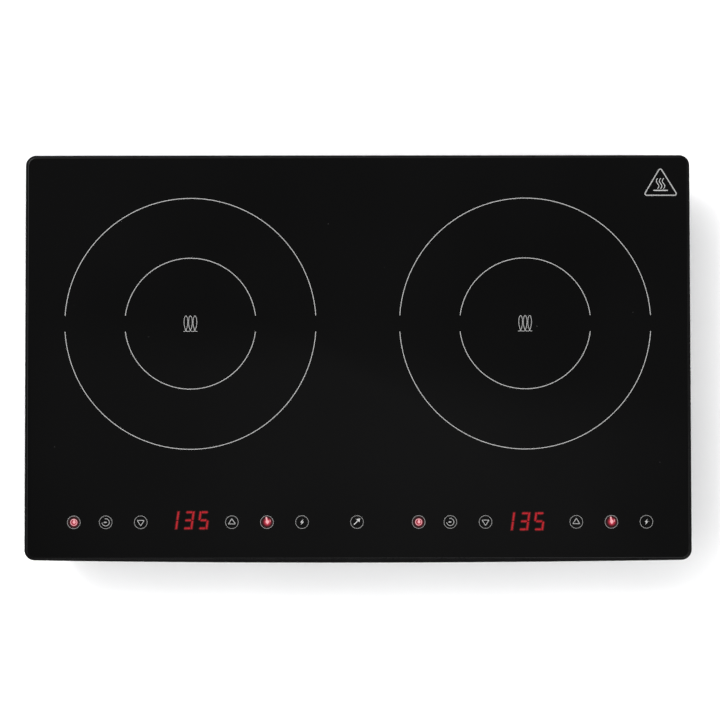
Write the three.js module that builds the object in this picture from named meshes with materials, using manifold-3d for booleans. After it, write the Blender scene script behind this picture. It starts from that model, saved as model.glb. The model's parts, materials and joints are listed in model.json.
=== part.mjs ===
// Electric induction cooktop with two cooking zones.
// Millimetres, +Z up, front towards -Y. The origin is at the middle of the footprint, on the
// surface that the feet stand on. A black glass plate lies in a plastic frame over a tapered
// tray, which holds a coil, a power board and a fan for each zone and one touch control board.

import * as THREE from 'three';
import { mergeVertices } from 'three/addons/utils/BufferGeometryUtils.js';
import Module from 'manifold-3d';

const wasm = await Module();
wasm.setup();

// ---------------------------------------------------------------- driving dimensions

const WIDTH = 609; // over the frame
const DEPTH = 373; // over the frame, at the middle of its bowed front edge
const HEIGHT = 65; // from the feet to the frame's rim
const FRONT_BOW = 2.25; // how far the middle of the front edge stands out
const CORNER_R = 9.5; // frame corner in plan
const GAP = 0.25; // clearance between neighbouring pieces

const GLASS = { x: 302.5, front: -182.5, back: 184.75, r: 7.5, bottom: 60.5, top: 64.5, bevel: 0.5 };
const BEAD = { outer: 2.5, inner: 10.5, bottom: 60 }; // insets from the glass edge
const LEDGE = { bottom: 57.25, top: 60, inset: 20, windowR: 6 };
const SKIRT = { bottom: 48, wall: 2.25, rim: 0.75 };

const FLOOR = { bottom: 9, top: 11.5 }; // the tray's floor
const SEAM_Z = 47.5; // where the tray's wall steps in behind the frame's skirt
const TRAY_TOP = 57;
const OUTLET = { width: 4.5, height: 20, z: 29, pitch: 10.5, back: 15, side: 8, sideY: -40 };
const INTAKE = { width: 4.5, pitch: 8, count: 9 };
const POST_R = { coil: 3.5, board: 3, fan: 4, keys: 3.5, screw: 6 };

const ZONE = { x: 153.25, y: 32 }; // centre of each cooking zone
const FAN = { y: 122, half: 40, bottom: 14, height: 20, ductR: 38, holeReach: 35.5, holeR: 2.1 };
const CONTROL_Y = -142.25; // middle of the control board

const FEET = { x: 262, y: 146, r: 12, plugR: 4 };
const SCREWS = [[280, 162], [95, 165.5], [-95, 165.5], [-280, 162]];
const SCREW = { headR: 3.4, shankR: 1.5, headBottom: 9.25, headTop: 11.5, tip: 24 };
const PILLAR = { r: 4, bottom: 14.5, tabR: 7 };

const GLAND = { z: 30, holeR: 6.75, barrelR: 6.5, boreR: 4, flangeR: 10, back: 186 };
const GLAND_BLOCK = { x: 14, inner: 164, outer: 183.5, bottom: 16, top: 44 };
const MAINS_TERMINAL = { left: 56, right: 76, front: 146, back: 164, top: 27.5 };

const SIDES = 16; // facets of a visible round piece
const POST_SIDES = 8;
const INNER_SIDES = 12; // facets of a small round piece inside
const COIL_SIDES = 28;
const ARC_SEGMENTS = 6; // facets of a rounded corner

// ---------------------------------------------------------------- materials

function paint(color, roughness, metalness = 0) {
  return new THREE.MeshStandardMaterial({ color, roughness, metalness });
}

const materials = {
  glass: paint(0x121213, 0.08),
  frame: paint(0x17181a, 0.38),
  housing: paint(0x1d1e20, 0.6),
  rubber: paint(0x232323, 0.9),
  silicone: paint(0x0d0d0d, 0.7),
  steel: paint(0xa9abad, 0.3, 1),
  copper: paint(0xb56a3c, 0.4, 1),
  carrier: paint(0x2c2a28, 0.65),
  mica: paint(0xcdbf9b, 0.7),
  ceramic: paint(0xe6e2d8, 0.5),
  ferrite: paint(0x3a3b3d, 0.8),
  circuit: paint(0x1f5a34, 0.55),
  aluminium: paint(0xb9bcc0, 0.4, 1),
  package: paint(0x1a1a1b, 0.5),
  film: paint(0xa9302a, 0.4),
  fan: paint(0x1b1b1c, 0.45),
  display: paint(0x2a1012, 0.25),
  terminal: paint(0xe8e6df, 0.5),
};

// ---------------------------------------------------------------- solids

function solid(geometry) {
  const bare = geometry.clone();
  bare.deleteAttribute('normal');
  bare.deleteAttribute('uv');
  const merged = mergeVertices(bare, 1e-4);
  return new wasm.Manifold(new wasm.Mesh({
    numProp: 3,
    vertProperties: new Float32Array(merged.attributes.position.array),
    triVerts: new Uint32Array(merged.index.array),
  }));
}

function toGeometry(manifold) {
  const { vertProperties, triVerts } = manifold.getMesh();
  const indexed = new THREE.BufferGeometry();
  indexed.setAttribute('position', new THREE.BufferAttribute(vertProperties, 3));
  indexed.setIndex(new THREE.BufferAttribute(triVerts, 1));
  const faceted = indexed.toNonIndexed();
  faceted.computeVertexNormals();
  return faceted;
}

function join(first, others) {
  return others.reduce((sum, other) => sum.add(other), first);
}

function cut(first, others) {
  return others.reduce((rest, other) => rest.subtract(other), first);
}

// ---------------------------------------------------------------- outlines and basic bodies

function roundedOutline(x, front, back, r) {
  const outline = new THREE.Shape();
  outline.moveTo(-x + r, front);
  outline.lineTo(x - r, front);
  addCorners(outline, x, front, back, r);
  return outline;
}

// The frame's plan, moved in by inset, with a front edge that bows outwards.
function bowedOutline(inset) {
  const x = WIDTH / 2 - inset;
  const back = DEPTH / 2 - inset;
  const front = -DEPTH / 2 + FRONT_BOW + inset;
  const r = CORNER_R;
  const outline = new THREE.Shape();
  outline.moveTo(-x + r, front);
  outline.quadraticCurveTo(0, front - 2 * FRONT_BOW, x - r, front);
  addCorners(outline, x, front, back, r);
  return outline;
}

// Goes on from the front edge's right end, round the back, to its left end.
function addCorners(outline, x, front, back, r) {
  const quarter = Math.PI / 2;
  outline.absarc(x - r, front + r, r, -quarter, 0);
  outline.absarc(x - r, back - r, r, 0, quarter);
  outline.absarc(-x + r, back - r, r, quarter, 2 * quarter);
  outline.absarc(-x + r, front + r, r, 2 * quarter, 3 * quarter);
}

function glassOutline(inset) {
  const r = Math.max(GLASS.r - inset, 5);
  return roundedOutline(GLASS.x - inset, GLASS.front + inset, GLASS.back - inset, r);
}

function circle(x, y, r, sides = SIDES) {
  const turn = 2 * Math.PI / sides;
  const points = Array.from({ length: sides }, (_, i) => new THREE.Vector2(
    x + r * Math.cos(i * turn),
    y + r * Math.sin(i * turn),
  ));
  return new THREE.Shape(points);
}

// A slot with round ends, centred on x, y and length long over its ends.
function slotOutline(x, y, width, length) {
  const r = width / 2;
  const straight = length / 2 - r;
  const outline = new THREE.Shape();
  outline.absarc(x, y + straight, r, 0, Math.PI);
  outline.absarc(x, y - straight, r, Math.PI, 2 * Math.PI);
  return outline;
}

function prism(outline, bottom, top, curveSegments = ARC_SEGMENTS) {
  const geometry = new THREE.ExtrudeGeometry(outline, {
    depth: top - bottom,
    bevelEnabled: false,
    curveSegments,
  });
  return geometry.translate(0, 0, bottom);
}

function block(x0, x1, y0, y1, z0, z1) {
  const geometry = new THREE.BoxGeometry(x1 - x0, y1 - y0, z1 - z0);
  return geometry.translate((x0 + x1) / 2, (y0 + y1) / 2, (z0 + z1) / 2);
}

function cylinder(x, y, r, bottom, top, sides = SIDES) {
  return prism(circle(x, y, r, sides), bottom, top);
}

// A turned piece about Z. The profile lists [radius, z], and runs upwards on its outer side.
function turned(profile, sides = SIDES) {
  const points = profile.map(([r, z]) => new THREE.Vector2(r, z));
  return new THREE.LatheGeometry(points, sides).rotateX(Math.PI / 2);
}

// A turned ring about Z of rectangular section.
function ring(inner, outer, bottom, top, sides = SIDES) {
  return turned([[inner, bottom], [outer, bottom], [outer, top], [inner, top], [inner, bottom]], sides);
}

// A closed solid through level outlines that all have the same number of points.
function loft(levels) {
  const rings = levels.map(({ z, outline }) => {
    const points = outline.getPoints(ARC_SEGMENTS);
    points.pop(); // the last point repeats the first
    return points.map((point) => new THREE.Vector3(point.x, point.y, z));
  });
  const count = rings[0].length;
  const index = [];
  for (let level = 0; level + 1 < rings.length; level++) {
    for (let i = 0; i < count; i++) {
      const a = level * count + i;
      const b = level * count + (i + 1) % count;
      index.push(a, b, b + count, a, b + count, a + count);
    }
  }
  const topStart = (rings.length - 1) * count;
  for (const [a, b, c] of THREE.ShapeUtils.triangulateShape(rings[0], [])) {
    index.push(a, c, b);
  }
  for (const [a, b, c] of THREE.ShapeUtils.triangulateShape(rings.at(-1), [])) {
    index.push(topStart + a, topStart + b, topStart + c);
  }
  const geometry = new THREE.BufferGeometry().setFromPoints(rings.flat());
  geometry.setIndex(index);
  return geometry;
}

function named(name, shape, material) {
  const geometry = shape instanceof THREE.BufferGeometry ? shape : toGeometry(shape);
  const mesh = new THREE.Mesh(geometry, material);
  mesh.name = name;
  return mesh;
}

// ---------------------------------------------------------------- glass, bead and frame

function glassPlate() {
  const { bottom, top, bevel } = GLASS;
  return loft([
    { z: bottom, outline: glassOutline(0) },
    { z: top - bevel, outline: glassOutline(0) },
    { z: top, outline: glassOutline(bevel) },
  ]);
}

function siliconeBead() {
  const outline = glassOutline(BEAD.outer);
  outline.holes.push(glassOutline(BEAD.inner));
  return prism(outline, BEAD.bottom, GLASS.bottom);
}

function screwPlaces() {
  return SCREWS.flatMap(([x, y]) => [[x, y], [x, -y]]);
}

// A ledge under the glass, a skirt around it and eight pillars that take the screws.
function upperFrame() {
  const body = loft([
    { z: SKIRT.bottom, outline: bowedOutline(SKIRT.rim) },
    { z: SKIRT.bottom + SKIRT.rim, outline: bowedOutline(0) },
    { z: HEIGHT - SKIRT.rim, outline: bowedOutline(0) },
    { z: HEIGHT, outline: bowedOutline(SKIRT.rim) },
  ]);
  const inside = loft([
    { z: SKIRT.bottom - 1, outline: bowedOutline(SKIRT.wall) },
    { z: LEDGE.bottom, outline: bowedOutline(SKIRT.wall) },
  ]);
  const windowX = WIDTH / 2 - LEDGE.inset;
  const windowY = DEPTH / 2 - LEDGE.inset;
  const window = prism(
    roundedOutline(windowX, -windowY, windowY, LEDGE.windowR),
    LEDGE.bottom - 1,
    LEDGE.top + 1,
  );
  const pocket = prism(glassOutline(-GAP), LEDGE.top, HEIGHT + 1);
  const places = screwPlaces();
  const tabs = places.map(([x, y]) => (
    solid(cylinder(x, y, PILLAR.tabR, LEDGE.bottom + GAP, LEDGE.top - GAP, INNER_SIDES))
  ));
  const pillars = places.map(([x, y]) => (
    solid(cylinder(x, y, PILLAR.r, PILLAR.bottom, LEDGE.top - 1, POST_SIDES))
  ));
  const pilotR = SCREW.shankR + GAP;
  const pilots = places.map(([x, y]) => (
    solid(cylinder(x, y, pilotR, PILLAR.bottom - 1, SCREW.tip + 2, POST_SIDES))
  ));
  const rim = cut(solid(body), [inside, window, pocket].map(solid));
  return cut(join(rim, [...tabs, ...pillars]), pilots);
}

// ---------------------------------------------------------------- bottom housing

// Levels of the tray's outer and inner skins, each with its inset from the frame's plan.
const TRAY_OUTSIDE = [
  { z: FLOOR.bottom, inset: 15.5 },
  { z: FLOOR.bottom + 1, inset: 13.5 },
  { z: FLOOR.bottom + 4, inset: 12 },
  { z: SEAM_Z, inset: 1 },
  { z: SEAM_Z, inset: SKIRT.wall + GAP },
  { z: TRAY_TOP, inset: SKIRT.wall + GAP },
];
const TRAY_INSIDE = [
  { z: FLOOR.top, inset: 18 },
  { z: FLOOR.top + 1, inset: 16 },
  { z: FLOOR.top + 4, inset: 14.5 },
  { z: SEAM_Z, inset: 4.75 },
  { z: TRAY_TOP + 1, inset: 4.75 },
];

function trayShell() {
  const [outer, inner] = [TRAY_OUTSIDE, TRAY_INSIDE].map((levels) => (
    solid(loft(levels.map(({ z, inset }) => ({ z, outline: bowedOutline(inset) }))))
  ));
  return outer.subtract(inner);
}

// A row of upright slots, made facing the back and turned to face a side.
function uprightSlots(offsets, from, to, turn) {
  return offsets.map((offset) => {
    const bar = prism(slotOutline(offset, OUTLET.z, OUTLET.width, OUTLET.height), from, to, 2);
    return solid(bar.rotateX(Math.PI / 2).rotateZ(Math.PI + turn));
  });
}

function spread(count, pitch, middle = 0) {
  return Array.from({ length: count }, (_, i) => middle + (i - (count - 1) / 2) * pitch);
}

function airOutlets() {
  const { pitch } = OUTLET;
  const back = [-ZONE.x, ZONE.x].flatMap((middle) => spread(OUTLET.back, pitch, middle));
  const side = spread(OUTLET.side, pitch, -OUTLET.sideY);
  const behindFans = DEPTH / 2 - 21.5;
  return [
    ...uprightSlots(back, behindFans, DEPTH / 2, 0),
    ...uprightSlots(side, -WIDTH / 2, WIDTH / 2, Math.PI / 2),
  ];
}

// Parallel slots in the floor that fill a round patch under each fan.
function airIntakes() {
  const patchR = FAN.ductR - 1;
  return [-ZONE.x, ZONE.x].flatMap((middle) => (
    spread(INTAKE.count, INTAKE.pitch).map((offset) => {
      const length = 2 * Math.sqrt(patchR ** 2 - offset ** 2);
      const outline = slotOutline(middle + offset, FAN.y, INTAKE.width, length);
      return solid(prism(outline, FLOOR.bottom - 1, FLOOR.top + 1, 2));
    })
  ));
}

function fourCorners(x, y, dx, dy) {
  return [[x - dx, y - dy], [x + dx, y - dy], [x + dx, y + dy], [x - dx, y + dy]];
}

const BOARD = { half: 52, front: -120, back: 78, bottom: 18, top: 19.5, holeInset: 5, holeR: 1.7 };
const CARRIER = { r: 95, bottom: 48, top: 50.5, holeR: 14, postReach: 59.5 };
const KEY_TRAY = { half: 272, depth: 36.5, bottom: 48, floor: 50, top: 53.5, wall: 2 };
const KEY_TRAY_POSTS = [-240, -60, 60, 240];

function boardHoles(x) {
  const middle = (BOARD.front + BOARD.back) / 2;
  const reach = (BOARD.back - BOARD.front) / 2 - BOARD.holeInset;
  return fourCorners(x, middle, BOARD.half - BOARD.holeInset, reach);
}

function post([x, y], r, top) {
  return solid(cylinder(x, y, r, FLOOR.top - 0.5, top, POST_SIDES));
}

// Posts for the coils, boards, fans and key tray, screw bosses and the cord gland's block.
function trayFittings() {
  const zoneX = [-ZONE.x, ZONE.x];
  const coilCorners = zoneX.flatMap((x) => fourCorners(x, ZONE.y, CARRIER.postReach, CARRIER.postReach));
  const fanCorners = zoneX.flatMap((x) => fourCorners(x, FAN.y, FAN.holeReach, FAN.holeReach));
  return [
    ...coilCorners.map((place) => post(place, POST_R.coil, CARRIER.bottom - GAP)),
    ...zoneX.flatMap(boardHoles).map((place) => post(place, POST_R.board, BOARD.bottom)),
    ...fanCorners.map((place) => post(place, POST_R.fan, FAN.bottom)),
    ...KEY_TRAY_POSTS.map((x) => post([x, CONTROL_Y], POST_R.keys, KEY_TRAY.bottom)),
    ...screwPlaces().map((place) => post(place, POST_R.screw, PILLAR.bottom - GAP)),
    solid(block(
      -GLAND_BLOCK.x,
      GLAND_BLOCK.x,
      GLAND_BLOCK.inner,
      GLAND_BLOCK.outer,
      GLAND_BLOCK.bottom,
      GLAND_BLOCK.top,
    )),
  ];
}

function trayHoles() {
  const under = FLOOR.bottom - 1;
  const recesses = screwPlaces().flatMap(([x, y]) => [
    solid(cylinder(x, y, SCREW.headR + 0.35, under, SCREW.headTop + GAP, INNER_SIDES)),
    solid(cylinder(x, y, SCREW.shankR + GAP, under, PILLAR.bottom, POST_SIDES)),
  ]);
  const footHoles = fourCorners(0, 0, FEET.x, FEET.y).map(([x, y]) => (
    solid(cylinder(x, y, FEET.plugR + GAP, under, FLOOR.top + 1))
  ));
  const glandHole = cylinder(0, 0, GLAND.holeR, GLAND_BLOCK.inner - 5, DEPTH / 2 + 1);
  return [
    ...recesses,
    ...footHoles,
    solid(glandHole.rotateX(-Math.PI / 2).translate(0, 0, GLAND.z)),
  ];
}

function bottomHousing() {
  const vented = cut(trayShell(), [...airOutlets(), ...airIntakes()]);
  return cut(join(vented, trayFittings()), trayHoles());
}

// ---------------------------------------------------------------- feet, screws and cord gland

function foot() {
  const { r, plugR } = FEET;
  const top = FLOOR.bottom - GAP;
  return turned([
    [0, 0],
    [r - 1, 0],
    [r, 1],
    [r - 1.5, top],
    [plugR, top],
    [plugR, FLOOR.top + GAP],
    [plugR + 1, FLOOR.top + 0.75],
    [plugR - 1, FLOOR.top + 3],
    [0, FLOOR.top + 3],
  ]);
}

// A pan-head screw, head down, with a cross recess.
function housingScrew() {
  const { headR, shankR, headBottom, headTop, tip } = SCREW;
  const body = turned([
    [0, headBottom],
    [headR - 0.6, headBottom],
    [headR, headBottom + 0.9],
    [headR, headTop],
    [shankR, headTop],
    [shankR, tip - 1.5],
    [0, tip],
  ], INNER_SIDES);
  const [arm, half, depth] = [1.9, 0.45, 1.2]; // of the cross recess
  const top = headBottom + depth;
  const slots = [
    block(-arm, arm, -half, half, headBottom - 1, top),
    block(-half, half, -arm, arm, headBottom - 1, top),
  ];
  return cut(solid(body), slots.map(solid));
}

// A bushing through the back wall, held by a flange on each side. Its bore takes the mains cord.
function cordGland() {
  const { boreR, barrelR, flangeR, back } = GLAND;
  const outerFlange = GLAND_BLOCK.outer + GAP;
  const innerFlange = GLAND_BLOCK.inner - GAP;
  const front = innerFlange - 3;
  const bushing = turned([
    [boreR, front],
    [flangeR - 1, front],
    [flangeR - 1, innerFlange],
    [barrelR, innerFlange],
    [barrelR, outerFlange],
    [flangeR, outerFlange],
    [flangeR - 1, back],
    [boreR, back],
    [boreR, front],
  ]);
  return bushing.rotateX(-Math.PI / 2).translate(0, 0, GLAND.z);
}

function mainsTerminal() {
  const { left, right, front, back, top } = MAINS_TERMINAL;
  return block(left, right, front, back, FLOOR.top, top);
}

function shellGroup() {
  const group = new THREE.Group();
  group.add(
    named('glass_plate', glassPlate(), materials.glass),
    named('glass_bead', siliconeBead(), materials.silicone),
    named('upper_frame', upperFrame(), materials.frame),
    named('bottom_housing', bottomHousing(), materials.housing),
    named('cord_gland', cordGland(), materials.rubber),
    named('mains_terminal', mainsTerminal(), materials.terminal),
  );
  const footNames = ['foot_front_left', 'foot_front_right', 'foot_back_right', 'foot_back_left'];
  fourCorners(0, 0, FEET.x, FEET.y).forEach(([x, y], i) => {
    const mesh = named(footNames[i], foot(), materials.rubber);
    mesh.position.set(x, y, 0);
    group.add(mesh);
  });
  screwPlaces().forEach(([x, y], i) => {
    const mesh = named(`housing_screw_${i + 1}`, housingScrew(), materials.steel);
    mesh.position.set(x, y, 0);
    group.add(mesh);
  });
  return group;
}

// ---------------------------------------------------------------- coil of one zone

const COIL = { inner: 20, outer: 88, bottom: 50.75, top: 55 };
const MICA = { inner: 17, outer: 92, thickness: 0.5 };
const FERRITE = { length: 58, width: 12, height: 5, reach: 58, count: 4 };

function coilCarrier() {
  const outline = circle(0, 0, CARRIER.r, COIL_SIDES);
  const lightening = { count: 6, reach: 55, r: 15 };
  outline.holes.push(circle(0, 0, CARRIER.holeR));
  for (let i = 0; i < lightening.count; i++) {
    const angle = (i + 0.5) * 2 * Math.PI / lightening.count;
    const x = lightening.reach * Math.cos(angle);
    const y = lightening.reach * Math.sin(angle);
    outline.holes.push(circle(x, y, lightening.r, INNER_SIDES));
  }
  return prism(outline, CARRIER.bottom, CARRIER.top);
}

// A sprung holder that presses the temperature sensor against the glass.
function sensorHolder() {
  const flange = { r: 16, bottom: COIL.bottom, top: 52 };
  const stem = { r: 5, top: GLASS.bottom - GAP };
  return turned([
    [0, 47],
    [11, 47],
    [11, flange.bottom],
    [flange.r, flange.bottom],
    [flange.r, flange.top],
    [6, flange.top + 1.5],
    [stem.r, stem.top],
    [0, stem.top],
  ], INNER_SIDES);
}

function coilGroup(side) {
  const group = new THREE.Group();
  const winding = ring(COIL.inner, COIL.outer, COIL.bottom, COIL.top, COIL_SIDES);
  const micaBottom = COIL.top + GAP;
  const mica = ring(MICA.inner, MICA.outer, micaBottom, micaBottom + MICA.thickness, COIL_SIDES);
  group.add(
    named(`${side}_coil_carrier`, coilCarrier(), materials.carrier),
    named(`${side}_coil_winding`, winding, materials.copper),
    named(`${side}_mica_sheet`, mica, materials.mica),
    named(`${side}_temperature_sensor`, sensorHolder(), materials.ceramic),
  );
  const { length, width, height, reach, count } = FERRITE;
  const barTop = CARRIER.bottom - GAP;
  for (let i = 0; i < count; i++) {
    const bar = block(-length / 2, length / 2, -width / 2, width / 2, barTop - height, barTop);
    const mesh = named(`${side}_ferrite_${i + 1}`, bar, materials.ferrite);
    const angle = i * 2 * Math.PI / count;
    mesh.position.set(reach * Math.cos(angle), reach * Math.sin(angle), 0);
    mesh.rotation.z = angle;
    group.add(mesh);
  }
  group.position.y = ZONE.y;
  return group;
}

// ---------------------------------------------------------------- power electronics of one zone

const TRANSISTOR = { left: -30, width: 16, height: 16, legs: 3 };
const RECTIFIER = { left: -4, width: 30, height: 17, legs: 4 };
const RESONANCE_CAPACITOR = { left: -46, right: -14, front: -32, back: -14, top: 39.5 };
const FILTER_CAPACITOR = { left: 6, right: 38, front: -34, back: -16, top: 38 };
const CHOKE = { x: -22, y: -64, ringR: 13, wireR: 6 };

function powerBoard() {
  const body = block(-BOARD.half, BOARD.half, BOARD.front, BOARD.back, BOARD.bottom, BOARD.top);
  const holes = boardHoles(0).map(([x, y]) => (
    solid(cylinder(x, y, BOARD.holeR, BOARD.bottom - 1, BOARD.top + 1, POST_SIDES))
  ));
  return cut(solid(body), holes);
}

// An extruded comb: a base with upright fins that run from front to back.
function heatSink() {
  const sink = { half: 36, base: 4, top: 40, fin: 2, count: 9, front: 15, back: 75 };
  const base = block(-sink.half, sink.half, sink.front, sink.back, BOARD.top, BOARD.top + sink.base);
  const pitch = (2 * sink.half - sink.fin) / (sink.count - 1);
  const fins = spread(sink.count, pitch).map((x) => (
    solid(block(x - sink.fin / 2, x + sink.fin / 2, sink.front, sink.back, BOARD.top + 1, sink.top))
  ));
  return join(solid(base), fins);
}

// A flat package that stands on its legs against the heat sink.
function leggedPackage({ left, width, height, legs }) {
  const back = 14.5;
  const thickness = 5;
  const bodyBottom = BOARD.top + 3;
  const body = block(left, left + width, back - thickness, back, bodyBottom, bodyBottom + height);
  const pins = spread(legs, width * 0.8 / (legs - 1), left + width / 2).map((x) => (
    solid(block(x - 0.6, x + 0.6, back - 3, back - 2, BOARD.top, bodyBottom + 1))
  ));
  return join(solid(body), pins);
}

// A dipped capacitor, as an upright box with round edges.
function softBox({ left, right, front, back, top }) {
  const half = (right - left) / 2;
  const outline = roundedOutline(half, front, back, 2);
  return prism(outline, BOARD.top, top, 3).translate(left + half, 0, 0);
}

function electronicsGroup(side) {
  const chokeRing = new THREE.TorusGeometry(CHOKE.ringR, CHOKE.wireR, POST_SIDES, INNER_SIDES);
  const chokeMesh = named(`${side}_choke`, chokeRing, materials.copper);
  chokeMesh.position.set(CHOKE.x, CHOKE.y, BOARD.top + CHOKE.wireR + GAP);
  const group = new THREE.Group();
  group.add(
    named(`${side}_power_board`, powerBoard(), materials.circuit),
    named(`${side}_heat_sink`, heatSink(), materials.aluminium),
    named(`${side}_power_transistor`, leggedPackage(TRANSISTOR), materials.package),
    named(`${side}_bridge_rectifier`, leggedPackage(RECTIFIER), materials.package),
    named(`${side}_resonance_capacitor`, softBox(RESONANCE_CAPACITOR), materials.film),
    named(`${side}_filter_capacitor`, softBox(FILTER_CAPACITOR), materials.film),
    chokeMesh,
  );
  return group;
}

// ---------------------------------------------------------------- fan of one zone

const HUB = { cupR: 15.5, boreR: 13.5, bottom: 17.5, capBottom: 26.5, top: 28.5 };
const SHAFT = { r: 1.5, holeR: 1.6, bottom: 17, top: 28.25 };
const MOTOR = { r: 12.5, bottom: 16.75, top: 25 };

function fanFrame() {
  const { half, bottom, height, ductR } = FAN;
  const outline = roundedOutline(half, -half, half, 5);
  outline.holes.push(circle(0, 0, ductR, COIL_SIDES));
  fourCorners(0, 0, FAN.holeReach, FAN.holeReach).forEach(([x, y]) => {
    outline.holes.push(circle(x, y, FAN.holeR, POST_SIDES));
  });
  const hub = { r: 14, bottom: bottom + GAP, top: bottom + 2.5 };
  const strut = { half: 2, reach: ductR + 0.75, bottom: bottom + 0.5, top: bottom + 2.25 };
  return join(solid(prism(outline, bottom, bottom + height)), [
    solid(cylinder(0, 0, hub.r, hub.bottom, hub.top)),
    solid(block(-strut.reach, strut.reach, -strut.half, strut.half, strut.bottom, strut.top)),
    solid(block(-strut.half, strut.half, -strut.reach, strut.reach, strut.bottom, strut.top)),
  ]);
}

// A cup with seven pitched blades. The motor's stator stands inside the cup.
function fanRotor() {
  const { cupR, boreR, bottom, capBottom, top } = HUB;
  const cup = turned([
    [SHAFT.holeR, capBottom],
    [boreR, capBottom],
    [boreR, bottom],
    [cupR, bottom],
    [cupR, top],
    [SHAFT.holeR, top],
    [SHAFT.holeR, capBottom],
  ]);
  const blade = { count: 7, root: 14.5, tip: 35, chord: 14, thickness: 1.4, pitch: 0.6, z: 23 };
  const blades = Array.from({ length: blade.count }, (_, i) => {
    const plate = new THREE.BoxGeometry(blade.tip - blade.root, blade.chord, blade.thickness);
    plate.rotateX(blade.pitch);
    plate.translate((blade.tip + blade.root) / 2, 0, blade.z);
    return solid(plate.rotateZ(i * 2 * Math.PI / blade.count));
  });
  return join(solid(cup), blades);
}

function fanGroup(side) {
  const group = new THREE.Group();
  group.add(
    named(`${side}_fan_frame`, fanFrame(), materials.fan),
    named(`${side}_fan_motor`, ring(SHAFT.holeR, MOTOR.r, MOTOR.bottom, MOTOR.top), materials.copper),
    named(`${side}_fan_rotor`, fanRotor(), materials.fan),
    named(`${side}_fan_shaft`, cylinder(0, 0, SHAFT.r, SHAFT.bottom, SHAFT.top), materials.steel),
  );
  group.position.y = FAN.y;
  return group;
}

// ---------------------------------------------------------------- touch controls

function keyTray() {
  const { half, depth, bottom, floor, top, wall } = KEY_TRAY;
  const reach = depth / 2;
  const body = block(-half, half, -reach, reach, bottom, top);
  const hollow = block(-half + wall, half - wall, -reach + wall, reach - wall, floor, top + 1);
  return solid(body).subtract(solid(hollow));
}

function controlsGroup() {
  const half = KEY_TRAY.half - KEY_TRAY.wall - GAP;
  const reach = 16;
  const bottom = KEY_TRAY.floor + GAP;
  const boardTop = bottom + 1.5;
  const board = block(-half, half, -reach, reach, bottom, boardTop);
  const display = { half: 25, front: -16, back: 4, top: GLASS.bottom - GAP };
  const group = new THREE.Group();
  group.add(
    named('control_board_tray', keyTray(), materials.carrier),
    named('control_board', board, materials.circuit),
  );
  [['left', -ZONE.x], ['right', ZONE.x]].forEach(([side, x]) => {
    const module = block(-display.half, display.half, display.front, display.back, boardTop, display.top);
    const mesh = named(`${side}_display`, module, materials.display);
    mesh.position.x = x;
    group.add(mesh);
  });
  group.position.y = CONTROL_Y;
  return group;
}

// ---------------------------------------------------------------- assembly

function zoneGroup(side, x) {
  const group = new THREE.Group();
  group.add(coilGroup(side), electronicsGroup(side), fanGroup(side));
  group.position.x = x;
  return group;
}

const cooktop = new THREE.Group();
cooktop.add(
  shellGroup(),
  zoneGroup('left', -ZONE.x),
  zoneGroup('right', ZONE.x),
  controlsGroup(),
);

export default cooktop;
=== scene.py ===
"""Looks of an electric induction cooktop with two cooking zones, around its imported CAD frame.

Shapes are made in millimetres in the row frame: +X right, front towards -Y, +Z up, with the
origin at the middle of the footprint. piece() turns them into metres.
"""

import json
import math

import bmesh
import bpy
from mathutils import Matrix, Vector


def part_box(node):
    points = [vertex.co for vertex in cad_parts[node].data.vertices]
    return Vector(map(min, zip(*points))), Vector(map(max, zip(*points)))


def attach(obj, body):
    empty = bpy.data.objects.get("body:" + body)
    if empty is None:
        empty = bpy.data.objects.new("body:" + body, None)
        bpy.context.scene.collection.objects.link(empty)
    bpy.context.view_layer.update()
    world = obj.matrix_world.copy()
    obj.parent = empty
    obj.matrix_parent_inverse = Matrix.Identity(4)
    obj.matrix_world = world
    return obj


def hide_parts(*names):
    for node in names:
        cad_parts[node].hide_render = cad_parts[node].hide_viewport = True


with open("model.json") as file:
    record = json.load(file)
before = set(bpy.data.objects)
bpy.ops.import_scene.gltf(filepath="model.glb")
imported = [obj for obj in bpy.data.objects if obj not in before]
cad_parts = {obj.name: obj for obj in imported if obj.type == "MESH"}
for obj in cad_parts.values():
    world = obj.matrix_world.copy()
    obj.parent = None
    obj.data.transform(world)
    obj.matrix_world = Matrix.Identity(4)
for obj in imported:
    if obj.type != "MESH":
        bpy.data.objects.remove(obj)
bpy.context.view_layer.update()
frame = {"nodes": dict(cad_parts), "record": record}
NODES = frame["nodes"]

# ---- dimensions, in millimetres

MM = 0.001


def box_mm(node):
    low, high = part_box(node)
    return low / MM, high / MM


GLASS_LOW, GLASS_HIGH = box_mm("glass_plate")
FRAME_LOW, FRAME_HIGH = box_mm("upper_frame")
TRAY_LOW, TRAY_HIGH = box_mm("bottom_housing")

GAP = 0.25  # clearance between neighbouring pieces
FRAME_X = FRAME_HIGH.x
FRAME_BACK = FRAME_HIGH.y
FRONT_BOW = 2.25  # how far the middle of the front edge stands out
FRAME_FRONT = FRAME_LOW.y + FRONT_BOW
FRAME_R = 9.5
GLASS_R = 7.5
RIM_Z = FRAME_HIGH.z
GLASS_TOP = GLASS_HIGH.z
FLOOR = TRAY_LOW.z  # underside of the tray
INNER_FLOOR = FLOOR + 2.5
SKIRT_Z = 48  # lower edge of the frame
LEDGE_BOTTOM, LEDGE_TOP = 57.25, 60
SEAM_Z = 47.5  # where the tray steps in behind the frame

ZONE = Vector((153.25, 32, 0))  # centre of the right cooking zone; the left one mirrors it
FAN_Y = 122
FOOT_X, FOOT_Y = 262, 146
SCREWS = [(280, 162), (95, 165.5), (-95, 165.5), (-280, 162)]
GLAND_Z = 30

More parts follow.
